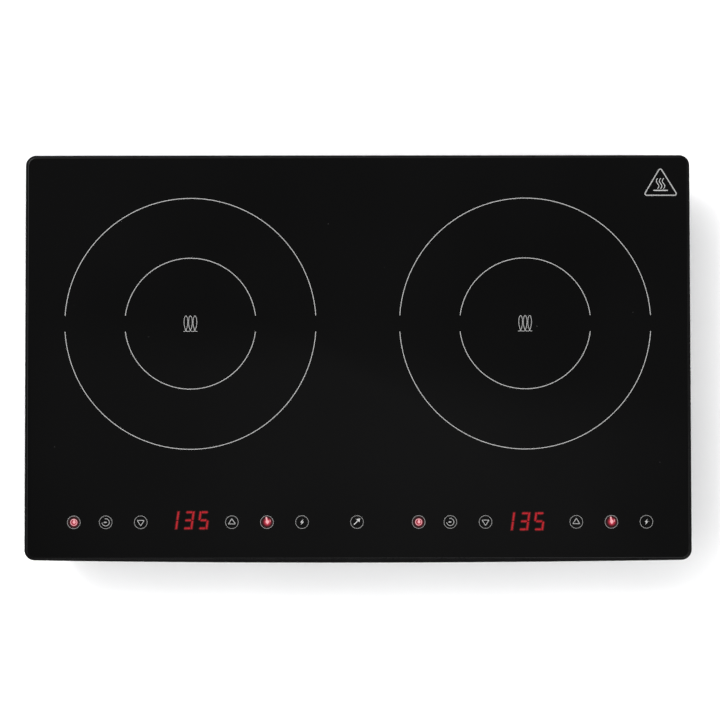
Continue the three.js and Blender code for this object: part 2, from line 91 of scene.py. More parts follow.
PRINT = (GLASS_TOP - 0.02, GLASS_TOP + 0.04)  # lowest and highest level of the enamel print
LIGHT = (GLASS_TOP - 0.02, GLASS_TOP + 0.03)
GLOW = (GLASS_TOP - 0.02, GLASS_TOP + 0.015)
GLYPH = (GLASS_TOP + 0.03, GLASS_TOP + 0.06)  # symbols that lie over a lit disc

CORNER_STEPS = 14
FRONT_STEPS = 32


def add_object(name, data):
    made = bpy.data.objects.new(name, data)
    bpy.context.scene.collection.objects.link(made)
    return made


# ---- camera

# Millimetres and degrees. The camera looks down, tilted a little from the vertical.
CAMERA = {"distance": 2000, "tilt": 1.96, "roll": -0.06, "lens": 109.28, "aim": (2.0, -1.5)}


def make_camera():
    data = bpy.data.cameras.new("camera")
    data.lens = CAMERA["lens"]
    data.sensor_width = 36
    data.clip_start, data.clip_end = 0.05, 50
    tilt = math.radians(CAMERA["tilt"])
    back = Vector((0, -math.sin(tilt), math.cos(tilt)))
    aim = Vector((*CAMERA["aim"], GLASS_TOP))
    turn = Matrix.Rotation(tilt, 4, "X") @ Matrix.Rotation(math.radians(CAMERA["roll"]), 4, "Z")
    camera = add_object("camera", data)
    camera.matrix_world = Matrix.Translation((aim + back * CAMERA["distance"]) * MM) @ turn
    bpy.context.scene.camera = camera


make_camera()

# ---- shapes


class Shape:
    """Vertices in millimetres, and faces, of closed bodies gathered into one piece."""

    def __init__(self):
        self.verts = []
        self.faces = []

    def add(self, verts, faces):
        start = len(self.verts)
        self.verts += [Vector(v) for v in verts]
        self.faces += [[start + i for i in face] for face in faces]
        return self

    def loft(self, loops, closed=False):
        """Skins loops of equal length. A closed loft joins its last loop to its first one."""
        count = len(loops[0])
        levels = len(loops)
        faces = []
        for k in range(levels if closed else levels - 1):
            a, b = k * count, (k + 1) % levels * count
            for i in range(count):
                j = (i + 1) % count
                faces.append([a + i, a + j, b + j, b + i])
        if not closed:
            faces.append(list(reversed(range(count))))
            faces.append(list(range((levels - 1) * count, levels * count)))
        return self.add([p for loop in loops for p in loop], faces)

    def stack(self, levels, closed=False):
        """Skins flat outlines, each with its level."""
        return self.loft([[Vector((p[0], p[1], z)) for p in outline] for outline, z in levels], closed)

    def plate(self, outline, low, high):
        return self.stack([(outline, low), (outline, high)])

    def band(self, outer, inner, low, high):
        levels = [(outer, low), (outer, high), (inner, high), (inner, low)]
        return self.stack(levels, closed=True)

    def turned(self, profile, centre, steps, axis="Z"):
        """A turned body from (radius, height) pairs. A profile that starts and ends on the axis
        gets poles there; any other profile is joined to itself and makes a ring."""
        turns = [2 * math.pi * i / steps for i in range(steps)]

        def place(r, h, angle=0.0):
            u, v = centre[0] + r * math.cos(angle), centre[1] + r * math.sin(angle)
            return Vector((u, v, h)) if axis == "Z" else Vector((u, h, v))

        loops = [[place(r, h, angle) for angle in turns] for r, h in profile if r > 0]
        if all(r > 0 for r, _ in profile):
            return self.loft(loops, closed=True)
        verts = [p for loop in loops for p in loop]
        last = (len(loops) - 1) * steps
        poles = len(verts)
        verts += [place(0, profile[0][1]), place(0, profile[-1][1])]
        faces = []
        for i in range(steps):
            j = (i + 1) % steps
            faces.append([poles, j, i])
            faces.append([poles + 1, last + i, last + j])
            for k in range(len(loops) - 1):
                start = k * steps
                faces.append([start + i, start + j, start + steps + j, start + steps + i])
        return self.add(verts, faces)


def moved(outline, centre):
    return [(p[0] + centre[0], p[1] + centre[1]) for p in outline]


def arc(r, start, end, steps, centre):
    """Points on an arc, angles in degrees counterclockwise from +X, both ends included."""
    angles = [math.radians(start + (end - start) * i / steps) for i in range(steps + 1)]
    return [(centre[0] + r * math.cos(a), centre[1] + r * math.sin(a)) for a in angles]


def circle(r, centre):
    return arc(r, 0, 360, 64, centre)[:-1]


def rounded(x, front, back, r, bow=0):
    """Rounded rectangle, counterclockwise from its front left, with a front edge that bows."""
    points = []
    for i in range(1, FRONT_STEPS):
        t = i / FRONT_STEPS
        points.append((-x + r + 2 * (x - r) * t, front - 4 * bow * t * (1 - t)))
    right, left, low, high = x - r, -x + r, front + r, back - r
    for cx, cy, start in ((right, low, -90), (right, high, 0), (left, high, 90), (left, low, 180)):
        points += arc(r, start, start + 90, CORNER_STEPS, (cx, cy))
    return points


def frame_plan(inset):
    return rounded(FRAME_X - inset, FRAME_FRONT + inset, FRAME_BACK - inset, FRAME_R, FRONT_BOW)


def glass_plan(inset):
    r = max(GLASS_R - inset, 5)
    return rounded(GLASS_HIGH.x - inset, GLASS_LOW.y + inset, GLASS_HIGH.y - inset, r)


def slot_plan(width, length, centre):
    """A slot with round ends that runs along the second axis."""
    r, half = width / 2, length / 2 - width / 2
    x, y = centre
    return arc(r, 0, 180, 8, (x, y + half)) + arc(r, 180, 360, 8, (x, y - half))


def sides_of(path, width, closed):
    """The path moved half a width to its left and to its right."""
    left, right = [], []
    count = len(path)
    points = [Vector(p) for p in path]
    for i, p in enumerate(points):
        before = points[i - 1] if closed or i else p
        after = points[(i + 1) % count] if closed or i + 1 < count else p
        a, b = (p - before), (after - p)
        a = a.normalized() if a.length else b.normalized()
        b = b.normalized() if b.length else a
        normal = Vector((-(a + b).y, (a + b).x)).normalized()
        reach = width / 2 / max(normal.dot(Vector((-b.y, b.x))), 0.5)
        left.append(p + normal * reach)
        right.append(p - normal * reach)
    return left, right


def round_end(a, b):
    """Points of the half circle from a to b, both left out."""
    centre = (a + b) / 2
    start = math.degrees(math.atan2(a.y - centre.y, a.x - centre.x))
    return arc((a - centre).length, start, start + 180, 6, centre)[1:-1]


def stroke(shape, path, width, levels=PRINT, closed=False, round_ends=True):
    """A flat line of one width along a path on the glass."""
    left, right = sides_of(path, width, closed)
    if closed:
        shape.band(left, right, *levels)
    elif round_ends:
        head, tail = round_end(right[-1], left[-1]), round_end(left[0], right[0])
        shape.plate([*right, *head, *reversed(left), *tail], *levels)
    else:
        shape.plate([*right, *reversed(left)], *levels)


def soft_triangle(corners, r, steps=5):
    """A triangle with round corners, listed counterclockwise."""
    points = []
    for i, corner in enumerate(corners):
        c = Vector(corner)
        a = (Vector(corners[i - 1]) - c).normalized()
        b = (Vector(corners[(i + 1) % 3]) - c).normalized()
        half = a.angle(b) / 2
        middle = c + (a + b).normalized() * r / math.sin(half)
        foot = c + a * r / math.tan(half) - middle
        start = math.degrees(math.atan2(foot.y, foot.x))
        points += arc(r, start, start + 180 - 2 * math.degrees(half), steps, middle)
    return points


def four(x, y, dx, dy):
    """Corners of a rectangle around (x, y), counterclockwise from its front left."""
    return [(x + i * dx, y + j * dy) for i, j in ((-1, -1), (1, -1), (1, 1), (-1, 1))]


def spread(count, pitch, middle=0):
    return [middle + (i - (count - 1) / 2) * pitch for i in range(count)]


def screw_places():
    return [(x, side * y) for x, y in SCREWS for side in (1, -1)]


# ---- pieces

MATERIALS = {}  # made below, one or more for each material slot of the record
SHARP = 35  # degrees between faces from which an edge is shaded sharp


def closed_mesh(name, shape, centre=Vector((0, 0, 0))):
    """A mesh in metres with its faces turned outwards."""
    mesh = bpy.data.meshes.new(name)
    mesh.from_pydata([(v - centre) * MM for v in shape.verts], [], shape.faces)
    editable = bmesh.new()
    editable.from_mesh(mesh)
    bmesh.ops.recalc_face_normals(editable, faces=editable.faces)
    editable.to_mesh(mesh)
    editable.free()
    return mesh


def fixed(name, mesh, place, replaces, body="case"):
    """Puts a mesh at a place in millimetres and fixes it to a CAD body."""
    made = add_object(name, mesh)
    made.location = Vector(place) * MM
    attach(made, body)
    if replaces:
        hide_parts(*replaces)
    return made


def piece(name, shape, finish, replaces=(), body="case", origin=(0, 0, 0), sharp=SHARP):
    """Makes one object from a shape."""
    mesh = closed_mesh(name, shape, Vector(origin))
    mesh.shade_smooth()
    mesh.set_sharp_from_angle(angle=math.radians(sharp))
    mesh.materials.append(MATERIALS[finish])
    return fixed(name, mesh, origin, replaces, body)


def carve(target, shape, operation="DIFFERENCE"):
    """Cuts the bodies of a shape out of an object, or joins them to it, for good."""
    mesh = closed_mesh("tool", shape)
    tool = add_object("tool", mesh)
    modifier = target.modifiers.new("carve", "BOOLEAN")
    modifier.operation = operation
    modifier.solver = "EXACT"
    modifier.object = tool
    bpy.context.view_layer.update()
    graph = bpy.context.evaluated_depsgraph_get()
    result = bpy.data.meshes.new_from_object(target.evaluated_get(graph))
    target.modifiers.clear()
    old = target.data
    target.data = result
    bpy.data.meshes.remove(old)
    bpy.data.objects.remove(tool)
    bpy.data.meshes.remove(mesh)
    result.set_sharp_from_angle(angle=math.radians(SHARP))


# ---- materials


class Graph:
    """Short ways to add and wire the nodes of a material or of the world."""

    def __init__(self, tree):
        self.tree = tree

    def node(self, kind, **settings):
        made = self.tree.nodes.new(kind)
        for key, value in settings.items():
            setattr(made, key, value)
        return made

    def link(self, source, target):
        self.tree.links.new(source, target)

    def ramp(self, source, *stops):
        """stops are (position, colour or grey) pairs, from low to high."""
        made = self.node("ShaderNodeValToRGB")
        self.link(source, made.inputs["Fac"])
        elements = made.color_ramp.elements
        elements.remove(elements[1])
        for i, (position, colour) in enumerate(stops):
            element = elements.new(position) if i else elements[0]
            element.position = position
            element.color = (*colour, 1) if isinstance(colour, tuple) else (colour, colour, colour, 1)
        return made.outputs["Color"]

    def math(self, operation, a, b):
        made = self.node("ShaderNodeMath", operation=operation)
        for value, target in ((a, made.inputs[0]), (b, made.inputs[1])):
            if isinstance(value, (int, float)):
                target.default_value = value
            else:
                self.link(value, target)
        return made.outputs["Value"]

    def remap(self, source, span, low, high):
        made = self.node("ShaderNodeMapRange")
        self.link(source, made.inputs["Value"])
        for key, value in zip(("From Min", "From Max", "To Min", "To Max"), (*span, low, high)):
            made.inputs[key].default_value = value
        return made.outputs["Result"]


class Finish(Graph):
    """A Principled material and short ways to give it procedural detail."""

    def __init__(self, name, **constants):
        self.material = bpy.data.materials.new(name)
        self.material.use_nodes = True
        super().__init__(self.material.node_tree)
        self.shader = self.tree.nodes["Principled BSDF"]
        for key, value in constants.items():
            self.shader.inputs[key.replace("_", " ")].default_value = value
        self.place = self.node("ShaderNodeTexCoord").outputs["Object"]
        MATERIALS[name] = self.material

    def scaled(self, x, y, z):
        mapping = self.node("ShaderNodeMapping")
        self.link(self.place, mapping.inputs["Vector"])
        mapping.inputs["Scale"].default_value = (x, y, z)
        return mapping.outputs["Vector"]

    def noise(self, scale, detail, roughness=0.55, place=None):
        made = self.node("ShaderNodeTexNoise")
        self.link(place or self.place, made.inputs["Vector"])
        made.inputs["Scale"].default_value = scale
        made.inputs["Detail"].default_value = detail
        made.inputs["Roughness"].default_value = roughness
        return made.outputs["Fac"]

    def cells(self, scale):
        made = self.node("ShaderNodeTexVoronoi")
        self.link(self.place, made.inputs["Vector"])
        made.inputs["Scale"].default_value = scale
        return made.outputs["Distance"]

    def blend(self, share, a, b):
        """Mixes two colours by a share between 0 and 1."""
        made = self.node("ShaderNodeMix", data_type="RGBA")
        sockets = [made.inputs[0], made.inputs[6], made.inputs[7]]  # the node's share and colours
        for value, target in zip((share, a, b), sockets):
            if isinstance(value, (int, float)):
                target.default_value = value
            elif isinstance(value, tuple):
                target.default_value = (*value, 1)
            else:
                self.link(value, target)
        return made.outputs[2]

    def colour(self, source):
        self.link(source, self.shader.inputs["Base Color"])

    def roughness(self, source, low, high):
        """Roughness between two values. A noise rarely leaves the span from 0.3 to 0.7."""
        self.link(self.remap(source, (0.3, 0.7), low, high), self.shader.inputs["Roughness"])

    def bump(self, height, depth_mm, strength):
        made = self.node("ShaderNodeBump")
        made.inputs["Strength"].default_value = strength
        made.inputs["Distance"].default_value = depth_mm * MM
        self.link(height, made.inputs["Height"])
        self.link(made.outputs["Normal"], self.shader.inputs["Normal"])


def black_glass():
    """Polished glass with wiped-over smears and a little dust."""
    f = Finish("black_glass", IOR=1.5)
    smears = f.noise(5, 5, 0.6, f.scaled(1, 2.2, 1))
    f.roughness(smears, 0.04, 0.08)
    dark, light = (0.0010, 0.0010, 0.00103), (0.0018, 0.0018, 0.00185)
    patches = f.ramp(f.noise(3.5, 2), (0.35, dark), (0.7, light))
    specks = f.ramp(f.cells(95), (0.0, 1), (0.018, 1), (0.03, 0))
    rare = f.ramp(f.noise(14, 2), (0.6, 0), (0.64, 1))
    dust = f.math("MULTIPLY", specks, rare)
    f.colour(f.blend(dust, patches, (0.07, 0.07, 0.068)))


def frame_plastic():
    """Satin moulded plastic: a very fine grain, rubbed a little smoother in places."""
    f = Finish("frame_plastic", IOR=1.47, Specular_IOR_Level=0.14)
    dark, light = (0.0020, 0.0020, 0.0021), (0.0042, 0.0042, 0.0043)
    f.colour(f.ramp(f.noise(60, 4), (0.3, dark), (0.75, light)))
    f.roughness(f.noise(25, 5), 0.22, 0.34)
    f.bump(f.noise(2600, 2), 0.02, 0.35)


def housing_plastic():
    """Spark-eroded grain on matt black plastic, with pale rub marks."""
    f = Finish("housing_plastic", IOR=1.47, Specular_IOR_Level=0.35)
    dark, light = (0.007, 0.007, 0.0073), (0.012, 0.012, 0.0125)
    ground = f.ramp(f.noise(45, 4), (0.3, dark), (0.75, light))
    rubs = f.ramp(f.noise(30, 6, 0.7, f.scaled(0.25, 0.25, 4)), (0.62, 0), (0.74, 0.35))
    f.colour(f.blend(rubs, ground, (0.022, 0.022, 0.0228)))
    f.roughness(f.noise(35, 4), 0.5, 0.68)
    f.bump(f.math("ADD", f.noise(1500, 3), f.cells(1100)), 0.06, 0.6)


def rubber(name, base):
    f = Finish(name, IOR=1.5)
    light = (base * 1.9, base * 1.9, base * 1.85)
    f.colour(f.ramp(f.noise(120, 5), (0.3, base), (0.75, light)))
    f.roughness(f.noise(80, 4), 0.68, 0.9)
    f.bump(f.noise(900, 4), 0.08, 0.5)


def metal(name, base, light, rough, streaks=(1, 1, 1)):
    """Metal with a patchy colour. Streaks stretch the grain along an axis."""
    f = Finish(name, Metallic=1.0)
    grain = f.noise(180, 5, 0.6, f.scaled(*streaks))
    f.colour(f.ramp(grain, (0.3, base), (0.75, light)))
    f.roughness(grain, rough - 0.08, rough + 0.1)
    f.bump(f.noise(1400, 3, 0.5, f.scaled(*streaks)), 0.03, 0.4)


def moulded(name, dark, light, rough, grain=1400):
    """Plain moulded or pressed material with mottled colour and a fine surface."""
    f = Finish(name, IOR=1.5)
    f.colour(f.ramp(f.noise(90, 5), (0.3, dark), (0.75, light)))
    f.roughness(f.noise(60, 4), rough - 0.07, rough + 0.08)
    f.bump(f.noise(grain, 3), 0.05, 0.5)


def circuit_board():
    """Green solder mask over copper tracks, with small tinned pads."""
    f = Finish("circuit_board", IOR=1.5)
    tracks = f.node("ShaderNodeTexBrick", offset=0.37, squash=0.6, squash_frequency=3)
    f.link(f.place, tracks.inputs["Vector"])
    sizes = {"Scale": 70, "Mortar Size": 0.05, "Brick Width": 0.9, "Row Height": 0.33}
    for key, value in sizes.items():
        tracks.inputs[key].default_value = value
    mask = f.blend(tracks.outputs["Fac"], (0.012, 0.10, 0.038), (0.02, 0.16, 0.06))
    pads = f.ramp(f.cells(240), (0.16, 1), (0.2, 0))
    some = f.ramp(f.noise(40, 2), (0.52, 0), (0.56, 1))
    f.colour(f.blend(f.math("MULTIPLY", pads, some), mask, (0.55, 0.54, 0.5)))
    f.roughness(f.noise(70, 3), 0.3, 0.45)
    f.bump(tracks.outputs["Fac"], 0.035, 0.5)


def copper():
    """Enamelled wire laid in close turns. Its colour is darker in the grooves between the turns than on the
    turns: painted shade in the grooves.
    """
    f = Finish("copper", Metallic=1.0)
    wire_turns_and_groove_shade = f.node("ShaderNodeTexWave", wave_type="RINGS", rings_direction="Z")
    f.link(f.place, wire_turns_and_groove_shade.inputs["Vector"])
    wire_turns_and_groove_shade.inputs["Scale"].default_value = 320
    wire_turns_and_groove_shade.inputs["Distortion"].default_value = 1.5
    # dark is painted shade for the grooves between the turns, light is the copper of the turns; the ramp
    # follows the same rings as the bump
    dark, light = (0.30, 0.11, 0.045), (0.72, 0.34, 0.17)
    f.colour(f.ramp(wire_turns_and_groove_shade.outputs["Fac"], (0.0, dark), (0.8, light)))
    f.roughness(f.noise(90, 4), 0.28, 0.42)
    f.bump(wire_turns_and_groove_shade.outputs["Fac"], 0.2, 0.6)


def marking_print(name, dark, light):
    """Fired grey enamel: fine pinholes and a slightly uneven layer."""
    f = Finish(name, IOR=1.5)
    f.colour(f.ramp(f.noise(900, 4, 0.6), (0.3, dark), (0.7, light)))
    f.roughness(f.noise(300, 3), 0.35, 0.5)
    f.bump(f.noise(2200, 3), 0.015, 0.4)


MOTTLE = 0.12  # how much a fine noise shifts the colour of a light


def lit(name, stops, centre_mm=(0, 0), reach_mm=None):
    """Light that shines through the glass. With reach_mm the colour runs outwards from a centre
    near the piece's origin; without it, it only varies a little."""
    f = Finish(name, IOR=1.5, Roughness=0.25)
    f.shader.inputs["Base Color"].default_value = (0.004, 0.002, 0.002, 1)
    cloud = f.noise(700, 3)
    if reach_mm:
        shift = f.node("ShaderNodeVectorMath", operation="SUBTRACT")
        f.link(f.place, shift.inputs[0])
        shift.inputs[1].default_value = (centre_mm[0] * MM, centre_mm[1] * MM, 0)
        length = f.node("ShaderNodeVectorMath", operation="LENGTH")
        f.link(shift.outputs["Vector"], length.inputs[0])
        share = f.math("MULTIPLY", length.outputs["Value"], 1 / (reach_mm * MM))
    else:
        share = cloud
    uneven = f.math("ADD", share, f.math("MULTIPLY", f.math("SUBTRACT", cloud, 0.5), MOTTLE))
    f.link(f.ramp(uneven, *stops), f.shader.inputs["Emission Color"])
    f.shader.inputs["Emission Strength"].default_value = 1
    f.roughness(cloud, 0.18, 0.32)


def make_materials():
    """One finish for each slot of the record, and some variants of them."""
    black_glass()
    frame_plastic()
    housing_plastic()
    rubber("rubber", 0.012)
    rubber("silicone", 0.006)
    metal("screw_steel", (0.42, 0.42, 0.43), (0.62, 0.62, 0.63), 0.3)
    metal("heat_sink_aluminium", (0.5, 0.51, 0.53), (0.72, 0.73, 0.75), 0.38, (8, 0.3, 8))
    copper()
    moulded("carrier_plastic", (0.02, 0.018, 0.016), (0.045, 0.04, 0.036), 0.6)
    moulded("mica", (0.42, 0.35, 0.22), (0.66, 0.58, 0.4), 0.45, 500)
    moulded("ceramic", (0.62, 0.59, 0.52), (0.8, 0.77, 0.7), 0.5, 900)
    moulded("ferrite", (0.02, 0.02, 0.022), (0.05, 0.05, 0.055), 0.7, 700)
    moulded("package_plastic", (0.01, 0.01, 0.01), (0.022, 0.022, 0.022), 0.5)
    moulded("capacitor_film", (0.26, 0.02, 0.015), (0.42, 0.035, 0.028), 0.3, 300)
    moulded("fan_plastic", (0.011, 0.011, 0.012), (0.02, 0.02, 0.021), 0.45)
    moulded("terminal_plastic", (0.6, 0.58, 0.53), (0.75, 0.73, 0.68), 0.4)
    moulded("display_window", (0.02, 0.002, 0.003), (0.05, 0.006, 0.008), 0.2)
    circuit_board()
    marking_print("marking_print", (0.26, 0.26, 0.257), (0.31, 0.31, 0.306))
    marking_print("key_print", (0.165, 0.165, 0.163), (0.20, 0.20, 0.197))
    marking_print("symbol_print", (0.235, 0.235, 0.232), (0.275, 0.275, 0.272))
    marking_print("bright_print", (0.31, 0.31, 0.307), (0.36, 0.36, 0.356))
    lit("red_light", [(0.25, (0.40, 0.006, 0.013)), (0.8, (0.54, 0.016, 0.026))])
    lit("red_glow", [(0.25, (0.055, 0.0008, 0.0018)), (0.8, (0.085, 0.002, 0.003))])
    lit("power_light", [
        (0.0, (0.90, 0.15, 0.20)), (0.2, (0.62, 0.08, 0.12)), (0.34, (0.30, 0.02, 0.04)),
        (0.48, (0.40, 0.035, 0.06)), (0.58, (0.20, 0.012, 0.025)), (0.65, (0.03, 0.001, 0.003)),
        (1.0, (0.012, 0.0, 0.001)),
    ], (0.3, -0.3), 5.5)
    lit("heat_light", [
        (0.0, (0.92, 0.19, 0.24)), (0.3, (0.58, 0.05, 0.09)), (0.5, (0.34, 0.016, 0.035)),
        (0.68, (0.07, 0.001, 0.005)), (0.85, (0.014, 0.0, 0.001)), (1.0, (0.008, 0.0, 0.001)),
    ], (0.35, 0.1), 5.5)
    lit("pale_light", [(0.2, (0.86, 0.34, 0.38)), (0.8, (1.0, 0.52, 0.55))])


make_materials()

# ---- glass, frame and housing

QUARTER = [math.pi / 2 * i / 4 for i in range(5)]  # angles along a rounded edge
FINE_QUARTER = [math.pi / 2 * i / 5 for i in range(6)]


def make_glass():
    """The glass plate, with a rounded upper edge and a small chamfer below."""
    rounding, chamfer = 0.5, 0.3
    levels = [(chamfer, GLASS_LOW.z), (0, GLASS_LOW.z + chamfer)]
    for a in FINE_QUARTER:
        levels.append((rounding * (1 - math.cos(a)), GLASS_TOP - rounding * (1 - math.sin(a))))
    shape = Shape().stack([(glass_plan(inset), z) for inset, z in levels])
    piece("glass_top", shape, "black_glass", ["glass_plate"], sharp=60)


def make_frame():
    """The frame in one skin: its outside, its lip around the glass, its ledge and its skirt."""
    rim, wall, ledge, window_r = 0.6, 2.25, 20, 6
    outside = [(1 - math.sin(a), SKIRT_Z + rim * (1 - math.cos(a))) for a in QUARTER]
    outside += [(1 - math.cos(a), RIM_Z - rim * (1 - math.sin(a))) for a in QUARTER]
    levels = [(frame_plan(rim * share), z) for share, z in outside]
    window = rounded(FRAME_X - ledge, -FRAME_BACK + ledge, FRAME_BACK - ledge, window_r)
    levels += [
        (glass_plan(-GAP - 0.3), RIM_Z),
        (glass_plan(-GAP - 0.08), RIM_Z - 0.1),
        (glass_plan(-GAP), RIM_Z - 0.35),
        (glass_plan(-GAP), LEDGE_TOP),
        (window, LEDGE_TOP),
        (window, LEDGE_BOTTOM),
        (frame_plan(wall), LEDGE_BOTTOM),
        (frame_plan(wall), SKIRT_Z),
    ]
    shape = Shape().stack(levels, closed=True)
    piece("frame_rim", shape, "frame_plastic", ["upper_frame"], sharp=50)


def make_pillars():
    """The frame's screw pillars, from the housing's bosses up to the ledge."""
    bore, outer, low, high = 1.75, 4, 14.5, LEDGE_BOTTOM - 0.05
    profile = [(bore, low), (outer - 0.4, low), (outer, low + 0.5), (outer, high), (bore, high)]
    shape = Shape()
    for place in screw_places():
        shape.turned(profile, place, 24)
    piece("frame_pillars", shape, "frame_plastic")


def tray_shell():
    """The tray in one skin: up its outside, over its rim and down its inside to the floor."""
    outside = [
        (15.5, FLOOR), (14.6, FLOOR + 0.12), (13.8, FLOOR + 0.5), (13.1, FLOOR + 1.3),
        (12.5, FLOOR + 2.5), (12, FLOOR + 4), (1.3, SEAM_Z - 0.6), (1.0, SEAM_Z - 0.3),
        (1.3, SEAM_Z), (2.5, SEAM_Z), (2.5, TRAY_HIGH.z - 0.4), (2.9, TRAY_HIGH.z),
    ]
    inside = [
        (4.35, TRAY_HIGH.z), (4.75, TRAY_HIGH.z - 0.4), (4.75, SEAM_Z), (14.5, FLOOR + 6.5),
        (15, FLOOR + 4.7), (16, FLOOR + 3.4), (17, FLOOR + 2.7), (18, INNER_FLOOR),
    ]
    return Shape().stack([(frame_plan(inset), z) for inset, z in outside + inside])


VENT = {"width": 4.5, "height": 20, "z": 29, "pitch": 10.5}  # slots of the walls
CARRIER_POSTS = (59.5, 59.5)  # half distances between posts, along X and along Y
BOARD_POSTS = (47, 94)
FAN_POSTS = (35.5, 35.5)
BOARD_Y = -21  # middle of the power boards
CONTROL_Y = -142.25
CONTROL_POSTS = (-240, -60, 60, 240)


def upright_slots(shape, offsets, start, end, along):
    """Cutters for slots in a wall. along is the axis that they are spaced on."""
    for offset in offsets:
        outline = slot_plan(VENT["width"], VENT["height"], (offset, VENT["z"]))
        if along == "X":
            loops = [[Vector((u, y, z)) for u, z in outline] for y in (start, end)]
        else:
            loops = [[Vector((x, u, z)) for u, z in outline] for x in (start, end)]
        shape.loft(loops)


def housing_vents():
    """Cutters for the outlets in the back and side walls and for the intakes under the fans."""
    beyond = 5  # how far the cutters reach out of the walls
    back_start, side_start = 165, 270  # where they start, inside the walls
    side_middle = -40
    intake_r, intake_pitch = 37, 8
    vents = Shape()
    for side in (-1, 1):
        back = spread(15, VENT["pitch"], side * ZONE.x)
        upright_slots(vents, back, back_start, FRAME_BACK + beyond, "X")
        start, end = sorted((side * side_start, side * (FRAME_X + beyond)))
        upright_slots(vents, spread(8, VENT["pitch"], side_middle), start, end, "Y")
        for offset in spread(9, intake_pitch):
            length = 2 * math.sqrt(intake_r ** 2 - offset ** 2)
            slot = slot_plan(VENT["width"], length, (side * ZONE.x + offset, FAN_Y))
            vents.plate(slot, FLOOR - 1, INNER_FLOOR + 1)
    return vents


def housing_fittings():
    """Posts for the coil carriers, power boards, fans, control board and screws, and the block
    that holds the cord gland."""
    posts = []  # place, radius and top of each
    for x in (-ZONE.x, ZONE.x):
        posts += [(place, 3.5, 47.75) for place in four(x, ZONE.y, *CARRIER_POSTS)]
        posts += [(place, 3, 18) for place in four(x, BOARD_Y, *BOARD_POSTS)]
        posts += [(place, 4, 14) for place in four(x, FAN_Y, *FAN_POSTS)]
    posts += [((x, CONTROL_Y), 3.5, 48) for x in CONTROL_POSTS]
    posts += [(place, 6, 14.25) for place in screw_places()]
    base, chamfer = INNER_FLOOR - 0.5, 0.3
    fittings = Shape()
    for place, r, top in posts:
        profile = [(0, base), (r, base), (r, top - chamfer), (r - chamfer, top), (0, top)]
        fittings.turned(profile, place, 20)
    half_width, front, back, corner_r = 14, 164, 183.5, 2
    block = rounded(half_width, front, back, corner_r)
    return fittings.plate(block, GLAND_Z - 14, GLAND_Z + 14)


def housing_rings():
    """Raised rings under the floor, around the intakes and around the feet."""
    high = FLOOR + 0.2
    low, inner, outer, edge = FLOOR - 0.6, 41, 43.2, 0.2
    intake = [
        (inner, high), (inner, low + edge), (inner + edge, low), (outer - edge, low),
        (outer, low + edge), (outer, high),
    ]
    foot = [(12.7, high), (12.7, FLOOR - 0.5), (14.2, FLOOR - 0.5), (14.2, high)]
    rings = Shape()
    for x in (-ZONE.x, ZONE.x):
        rings.turned(intake, (x, FAN_Y), 96)
    for place in four(0, 0, FOOT_X, FOOT_Y):
        rings.turned(foot, place, 64)
    return rings


def housing_holes():
    """Cutters for the screws, the plugs of the feet and the cord gland."""
    under = FLOOR - 2
    mouth_r, head_r, bore, seat, over = 4.3, 3.75, 1.75, 11.75, 15
    screw = [
        (0, under), (mouth_r, under), (mouth_r, FLOOR), (head_r, FLOOR + 0.5), (head_r, seat),
        (bore, seat), (bore, over), (0, over),
    ]
    plug_r, plug_top = 4.25, INNER_FLOOR + 1
    barrel_r, start, end = 6.75, 158, FRAME_BACK + 2
    barrel = [(0, start), (barrel_r, start), (barrel_r, end), (0, end)]
    holes = Shape()
    for place in screw_places():
        holes.turned(screw, place, 32)
    for place in four(0, 0, FOOT_X, FOOT_Y):
        holes.turned([(0, under), (plug_r, under), (plug_r, plug_top), (0, plug_top)], place, 32)
    return holes.turned(barrel, (0, GLAND_Z), 48, axis="Y")


def make_housing():
    housing = piece("tray_housing", tray_shell(), "housing_plastic", ["bottom_housing"])
    carve(housing, housing_vents())
    carve(housing, housing_fittings(), "UNION")
    carve(housing, housing_rings(), "UNION")
    carve(housing, housing_holes())


# ---- feet, screws and cord gland


def twins(name, shape, finish, places, nodes, carving=None):
    """The same piece at several places, one for each CAD node."""
    first = piece(name.format(nodes[0]), shape, finish, nodes[:1])
    if carving:
        carve(first, carving)
    first.location = Vector((*places[0], 0)) * MM
    for place, node in zip(places[1:], nodes[1:]):
        fixed(name.format(node), first.data, (*place, 0), [node])


def make_feet():
    """Rubber feet with a grooved sole and a barbed plug that is pressed through the tray."""
    low, high = box_mm("foot_front_left")
    r = (high.x - low.x) / 2
    top = FLOOR - GAP
    sole = [
        (0, 0.9), (6.6, 0.9), (7.1, 0.7), (7.4, 0), (8.5, 0), (8.8, 0.35), (9.2, 0.35), (9.5, 0),
        (r - 1.1, 0), (r - 0.5, 0.12), (r - 0.12, 0.5), (r, 1.1),
    ]
    flank = [
        (r - 0.3, 3), (r - 0.95, 5.5), (r - 1.3, top - 0.8), (r - 1.6, top - 0.25), (r - 2.2, top),
    ]
    plug = [
        (4, top), (4, INNER_FLOOR + 0.25), (5, INNER_FLOOR + 0.75), (4.6, INNER_FLOOR + 1.4),
        (3, INNER_FLOOR + 3), (0, INNER_FLOOR + 3),
    ]
    places = four(0, 0, FOOT_X, FOOT_Y)
    nodes = ["foot_" + at for at in ("front_left", "front_right", "back_right", "back_left")]
    twins("rubber_{}", Shape().turned(sole + flank + plug, (0, 0), 64), "rubber", places, nodes)


